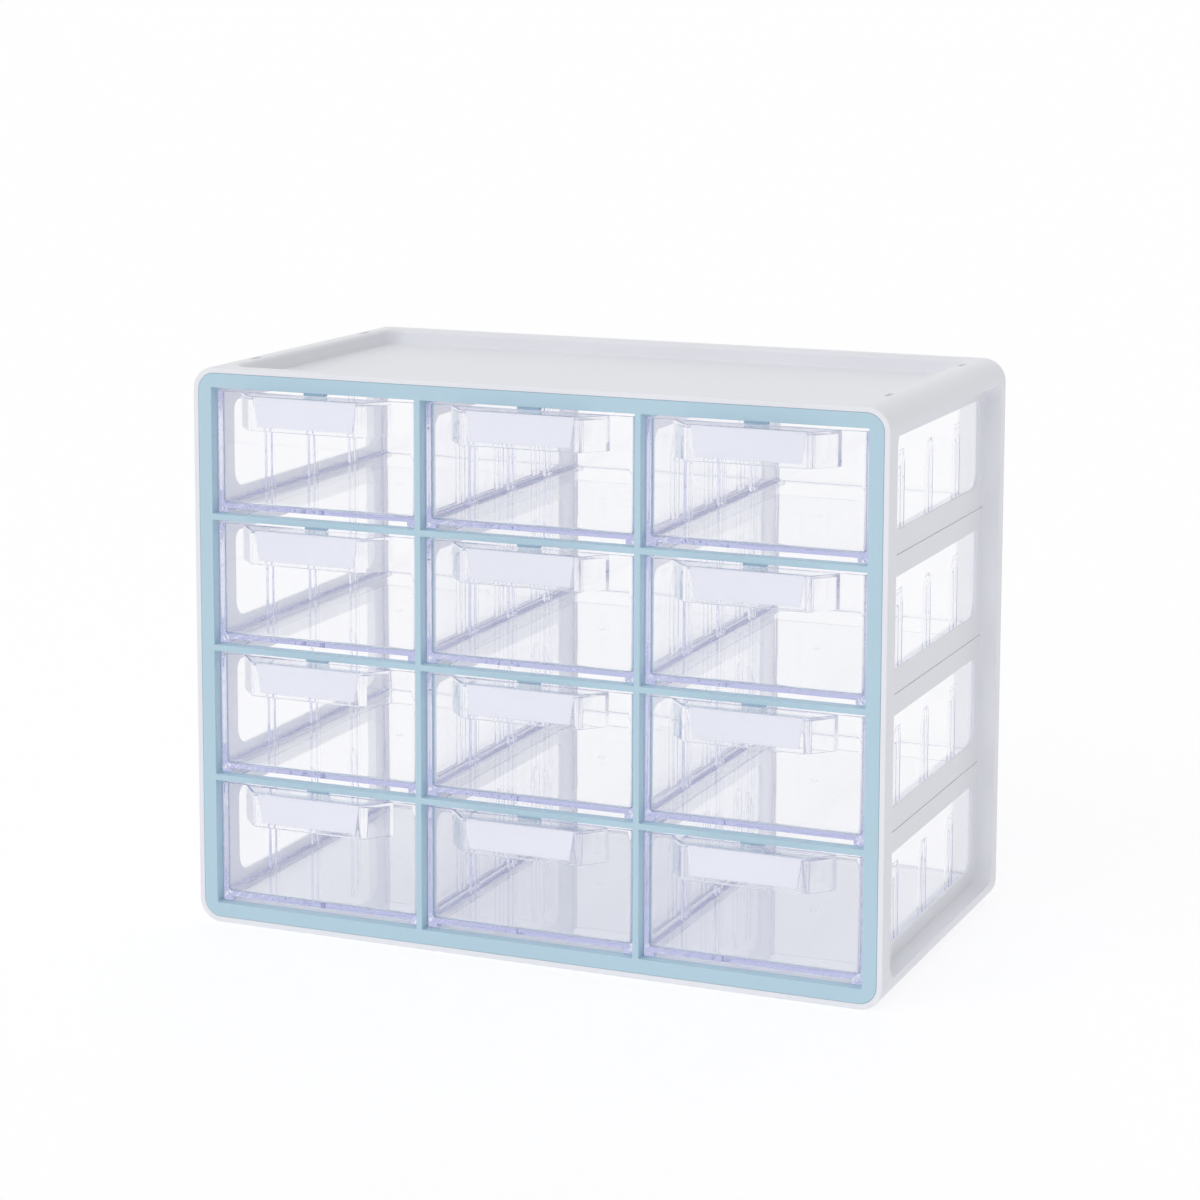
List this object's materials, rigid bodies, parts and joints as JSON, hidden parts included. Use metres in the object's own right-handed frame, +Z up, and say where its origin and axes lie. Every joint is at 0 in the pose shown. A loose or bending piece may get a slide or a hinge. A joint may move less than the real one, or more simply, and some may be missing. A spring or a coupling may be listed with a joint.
{
  "type": "craft stamp storage drawers",
  "caption": "Desktop cabinet with a grid of clear pull-out drawers, windowed white sides, a coloured front frame and a shallow tray on top.",
  "frame": {"origin": "middle of the footprint, drawer handles included, at the surface that the cabinet stands on", "axes": "+X to the right as seen from the front, +Y from the drawer fronts to the back, +Z up"},
  "size_m": [0.368, 0.204, 0.288],
  "materials": {
    "white_plastic": "fine satin moulding",
    "blue_plastic": "fine satin moulding",
    "clear_plastic": "clear, polished",
    "label_card": "plain card"
  },
  "bodies": {
    "cabinet": {"cabinet_shell": "white_plastic", "front_bezel": "blue_plastic", "divider_1": "white_plastic", "divider_2": "white_plastic"},
    "drawer_unit_1_1": {"drawer_1_1": "clear_plastic", "label_1_1": "label_card"},
    "drawer_unit_1_2": {"drawer_1_2": "clear_plastic", "label_1_2": "label_card"},
    "drawer_unit_1_3": {"drawer_1_3": "clear_plastic", "label_1_3": "label_card"},
    "drawer_unit_2_1": {"drawer_2_1": "clear_plastic", "label_2_1": "label_card"},
    "drawer_unit_2_2": {"drawer_2_2": "clear_plastic", "label_2_2": "label_card"},
    "drawer_unit_2_3": {"drawer_2_3": "clear_plastic", "label_2_3": "label_card"},
    "drawer_unit_3_1": {"drawer_3_1": "clear_plastic", "label_3_1": "label_card"},
    "drawer_unit_3_2": {"drawer_3_2": "clear_plastic", "label_3_2": "label_card"},
    "drawer_unit_3_3": {"drawer_3_3": "clear_plastic", "label_3_3": "label_card"},
    "drawer_unit_4_1": {"drawer_4_1": "clear_plastic", "label_4_1": "label_card"},
    "drawer_unit_4_2": {"drawer_4_2": "clear_plastic", "label_4_2": "label_card"},
    "drawer_unit_4_3": {"drawer_4_3": "clear_plastic", "label_4_3": "label_card"}
  },
  "joints": [
    {"name": "drawer_slide_1_1", "type": "slide", "parent": "cabinet", "child": "drawer_unit_1_1", "axis": [0, -1, 0], "range_m": [0, 0.181]},
    {"name": "drawer_slide_1_2", "type": "slide", "parent": "cabinet", "child": "drawer_unit_1_2", "axis": [0, -1, 0], "range_m": [0, 0.181]},
    {"name": "drawer_slide_1_3", "type": "slide", "parent": "cabinet", "child": "drawer_unit_1_3", "axis": [0, -1, 0], "range_m": [0, 0.181]},
    {"name": "drawer_slide_2_1", "type": "slide", "parent": "cabinet", "child": "drawer_unit_2_1", "axis": [0, -1, 0], "range_m": [0, 0.181]},
    {"name": "drawer_slide_2_2", "type": "slide", "parent": "cabinet", "child": "drawer_unit_2_2", "axis": [0, -1, 0], "range_m": [0, 0.181]},
    {"name": "drawer_slide_2_3", "type": "slide", "parent": "cabinet", "child": "drawer_unit_2_3", "axis": [0, -1, 0], "range_m": [0, 0.181]},
    {"name": "drawer_slide_3_1", "type": "slide", "parent": "cabinet", "child": "drawer_unit_3_1", "axis": [0, -1, 0], "range_m": [0, 0.181]},
    {"name": "drawer_slide_3_2", "type": "slide", "parent": "cabinet", "child": "drawer_unit_3_2", "axis": [0, -1, 0], "range_m": [0, 0.181]},
    {"name": "drawer_slide_3_3", "type": "slide", "parent": "cabinet", "child": "drawer_unit_3_3", "axis": [0, -1, 0], "range_m": [0, 0.181]},
    {"name": "drawer_slide_4_1", "type": "slide", "parent": "cabinet", "child": "drawer_unit_4_1", "axis": [0, -1, 0], "range_m": [0, 0.181]},
    {"name": "drawer_slide_4_2", "type": "slide", "parent": "cabinet", "child": "drawer_unit_4_2", "axis": [0, -1, 0], "range_m": [0, 0.181]},
    {"name": "drawer_slide_4_3", "type": "slide", "parent": "cabinet", "child": "drawer_unit_4_3", "axis": [0, -1, 0], "range_m": [0, 0.181]}
  ]
}
